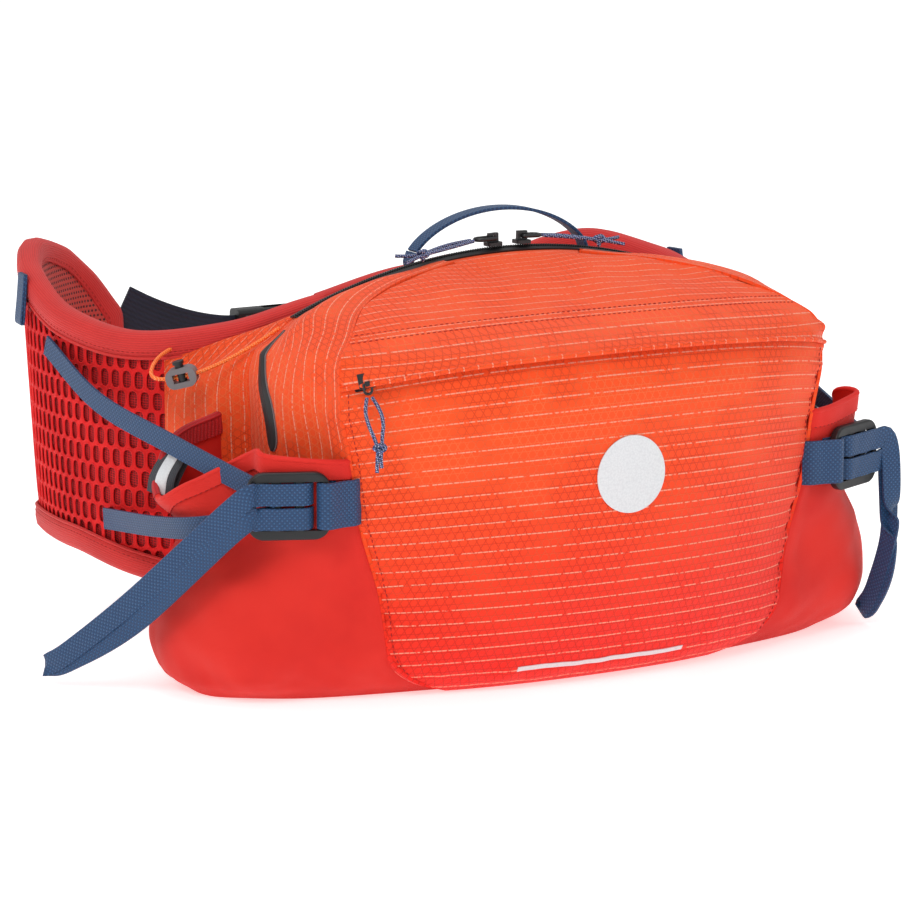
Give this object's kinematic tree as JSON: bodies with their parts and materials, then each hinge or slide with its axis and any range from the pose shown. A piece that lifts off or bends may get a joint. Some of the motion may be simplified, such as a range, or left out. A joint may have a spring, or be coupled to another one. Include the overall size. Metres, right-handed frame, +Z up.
{
  "type": "waist pack",
  "caption": "Zipped lumbar pack on a padded mesh hip belt, with two stretch bottle pockets, compression straps, a carry handle and a side-release buckle.",
  "frame": {"origin": "on the ground under the middle of the pack's flat base", "axes": "+Z up, the pack's front panel faces -Y, the wearer stands on the +Y side, +X to the right seen from the front"},
  "size_m": [0.4888, 0.3943, 0.2459],
  "materials": {
    "pack_fabric": "woven, slightly shiny",
    "back_fabric": "woven",
    "stiffener": "matte",
    "zip_tape": "matte coated",
    "slider_metal": "satin black",
    "pull_cord": "braided",
    "belt_foam": "closed-cell foam",
    "belt_mesh": "knitted spacer mesh",
    "edge_binding": "ribbed stretch binding",
    "pocket_fabric": "smooth stretch knit",
    "reflective": "retroreflective print",
    "blue_webbing": "woven webbing",
    "belt_webbing": "woven webbing",
    "black_plastic": "satin moulded",
    "grey_plastic": "satin moulded",
    "spring_steel": "bright",
    "elastic": "braided elastic"
  },
  "bodies": {
    "root": {"anchor_webbing_left": "blue_webbing", "anchor_webbing_right": "blue_webbing", "back_wall": "back_fabric", "belt_binding": "edge_binding", "belt_inner_mesh": "belt_mesh", "belt_webbing_left": "belt_webbing", "belt_webbing_right": "belt_webbing", "bottle_pocket_left": "pocket_fabric", "bottle_pocket_right": "pocket_fabric", "bottom_panel": "pack_fabric", "buckle_socket": "black_plastic", "cord_lock_left": "grey_plastic", "cord_lock_right": "grey_plastic", "elastic_cord_left": "elastic", "elastic_cord_right": "elastic", "emblem": "reflective", "frame_sheet": "stiffener", "front_panel": "pack_fabric", "handle_ends": "blue_webbing", "lock_spring_left": "spring_steel", "lock_spring_right": "spring_steel", "lower_strap_left": "blue_webbing", "lower_strap_right": "blue_webbing", "lumbar_foam": "belt_foam", "main_zip": "zip_tape", "pocket_hem_left": "edge_binding", "pocket_hem_right": "edge_binding", "pocket_tabs": "reflective", "rear_gusset": "pack_fabric", "reflective_strip": "reflective", "side_panel_left": "pack_fabric", "side_panel_right": "pack_fabric", "stash_zip": "zip_tape", "storm_flap": "pack_fabric", "upper_panel": "pack_fabric", "upper_strap_left": "blue_webbing", "upper_strap_right": "blue_webbing", "wing_foam_left": "belt_foam", "wing_foam_right": "belt_foam", "wing_loops": "blue_webbing", "wing_mesh_left": "belt_mesh", "wing_mesh_right": "belt_mesh"},
    "top_slider_left": {"top_slider_left": "slider_metal"},
    "top_slider_right": {"top_slider_right": "slider_metal"},
    "top_puller_left": {"top_puller_left": "slider_metal", "top_pull_cord_left": "pull_cord"},
    "top_puller_right": {"top_puller_right": "slider_metal", "top_pull_cord_right": "pull_cord"},
    "stash_slider": {"stash_slider": "slider_metal"},
    "stash_puller": {"stash_puller": "slider_metal", "stash_pull_cord": "pull_cord"},
    "ladder_lock_left": {"ladder_lock_left": "black_plastic", "pull_loop_left": "blue_webbing"},
    "ladder_lock_right": {"ladder_lock_right": "black_plastic", "pull_loop_right": "blue_webbing"},
    "carry_handle": {"carry_handle": "blue_webbing"},
    "buckle_plug": {"buckle_plug": "black_plastic", "belt_tail": "belt_webbing"},
    "lock_plunger_left": {"lock_plunger_left": "grey_plastic"},
    "lock_plunger_right": {"lock_plunger_right": "grey_plastic"}
  },
  "joints": [
    {"name": "top_zip_left", "type": "hinge", "parent": "root", "child": "top_slider_left", "pos_m": [0, 0.036, -0.102], "axis": [0, -1, 0], "range_deg": [0, 21]},
    {"name": "top_puller_swing_left", "type": "hinge", "parent": "top_slider_left", "child": "top_puller_left", "pos_m": [-0.0092, 0.036, 0.23017], "axis": [0, 1, 0], "range_deg": [0, 90]},
    {"name": "top_zip_right", "type": "hinge", "parent": "root", "child": "top_slider_right", "pos_m": [0, 0.036, -0.102], "axis": [0, 1, 0], "range_deg": [0, 21]},
    {"name": "top_puller_swing_right", "type": "hinge", "parent": "top_slider_right", "child": "top_puller_right", "pos_m": [0.0092, 0.036, 0.23017], "axis": [0, -1, 0], "range_deg": [0, 90]},
    {"name": "stash_zip_slide", "type": "hinge", "parent": "root", "child": "stash_slider", "pos_m": [0, 0.27896, 0.0359], "axis": [0, 0.3849, 0.923], "range_deg": [0, 42]},
    {"name": "stash_puller_swing", "type": "hinge", "parent": "stash_slider", "child": "stash_puller", "pos_m": [-0.14184, -0.0612, 0.17525], "axis": [-0.933, 0.3323, -0.1386], "range_deg": [0, 100]},
    {"name": "ladder_lock_tilt_left", "type": "hinge", "parent": "root", "child": "ladder_lock_left", "pos_m": [-0.16089, -0.05042, 0.111], "axis": [0, 0, 1], "range_deg": [0, 40], "deforming": ["upper_strap_left", "lower_strap_left"]},
    {"name": "ladder_lock_tilt_right", "type": "hinge", "parent": "root", "child": "ladder_lock_right", "pos_m": [0.16089, -0.05042, 0.104], "axis": [0, 0, -1], "range_deg": [0, 40], "deforming": ["upper_strap_right", "lower_strap_right"]},
    {"name": "handle_flop", "type": "hinge", "parent": "root", "child": "carry_handle", "pos_m": [0, 0.0465, 0.224], "axis": [-1, 0, 0], "range_deg": [-40, 70], "deforming": ["handle_ends"]},
    {"name": "buckle_release", "type": "slide", "parent": "root", "child": "buckle_plug", "axis": [1, 0, 0], "range_m": [0, 0.032], "deforming": ["belt_webbing_right"]},
    {"name": "lock_press_left", "type": "slide", "parent": "root", "child": "lock_plunger_left", "axis": [0.2512, -0.0897, -0.9638], "range_m": [0, 0.002], "stiffness_N_per_m": 1500, "deforming": ["lock_spring_left"]},
    {"name": "lock_press_right", "type": "slide", "parent": "root", "child": "lock_plunger_right", "axis": [0.2367, -0.6599, -0.7131], "range_m": [0, 0.002], "stiffness_N_per_m": 1500, "deforming": ["lock_spring_right"]}
  ]
}
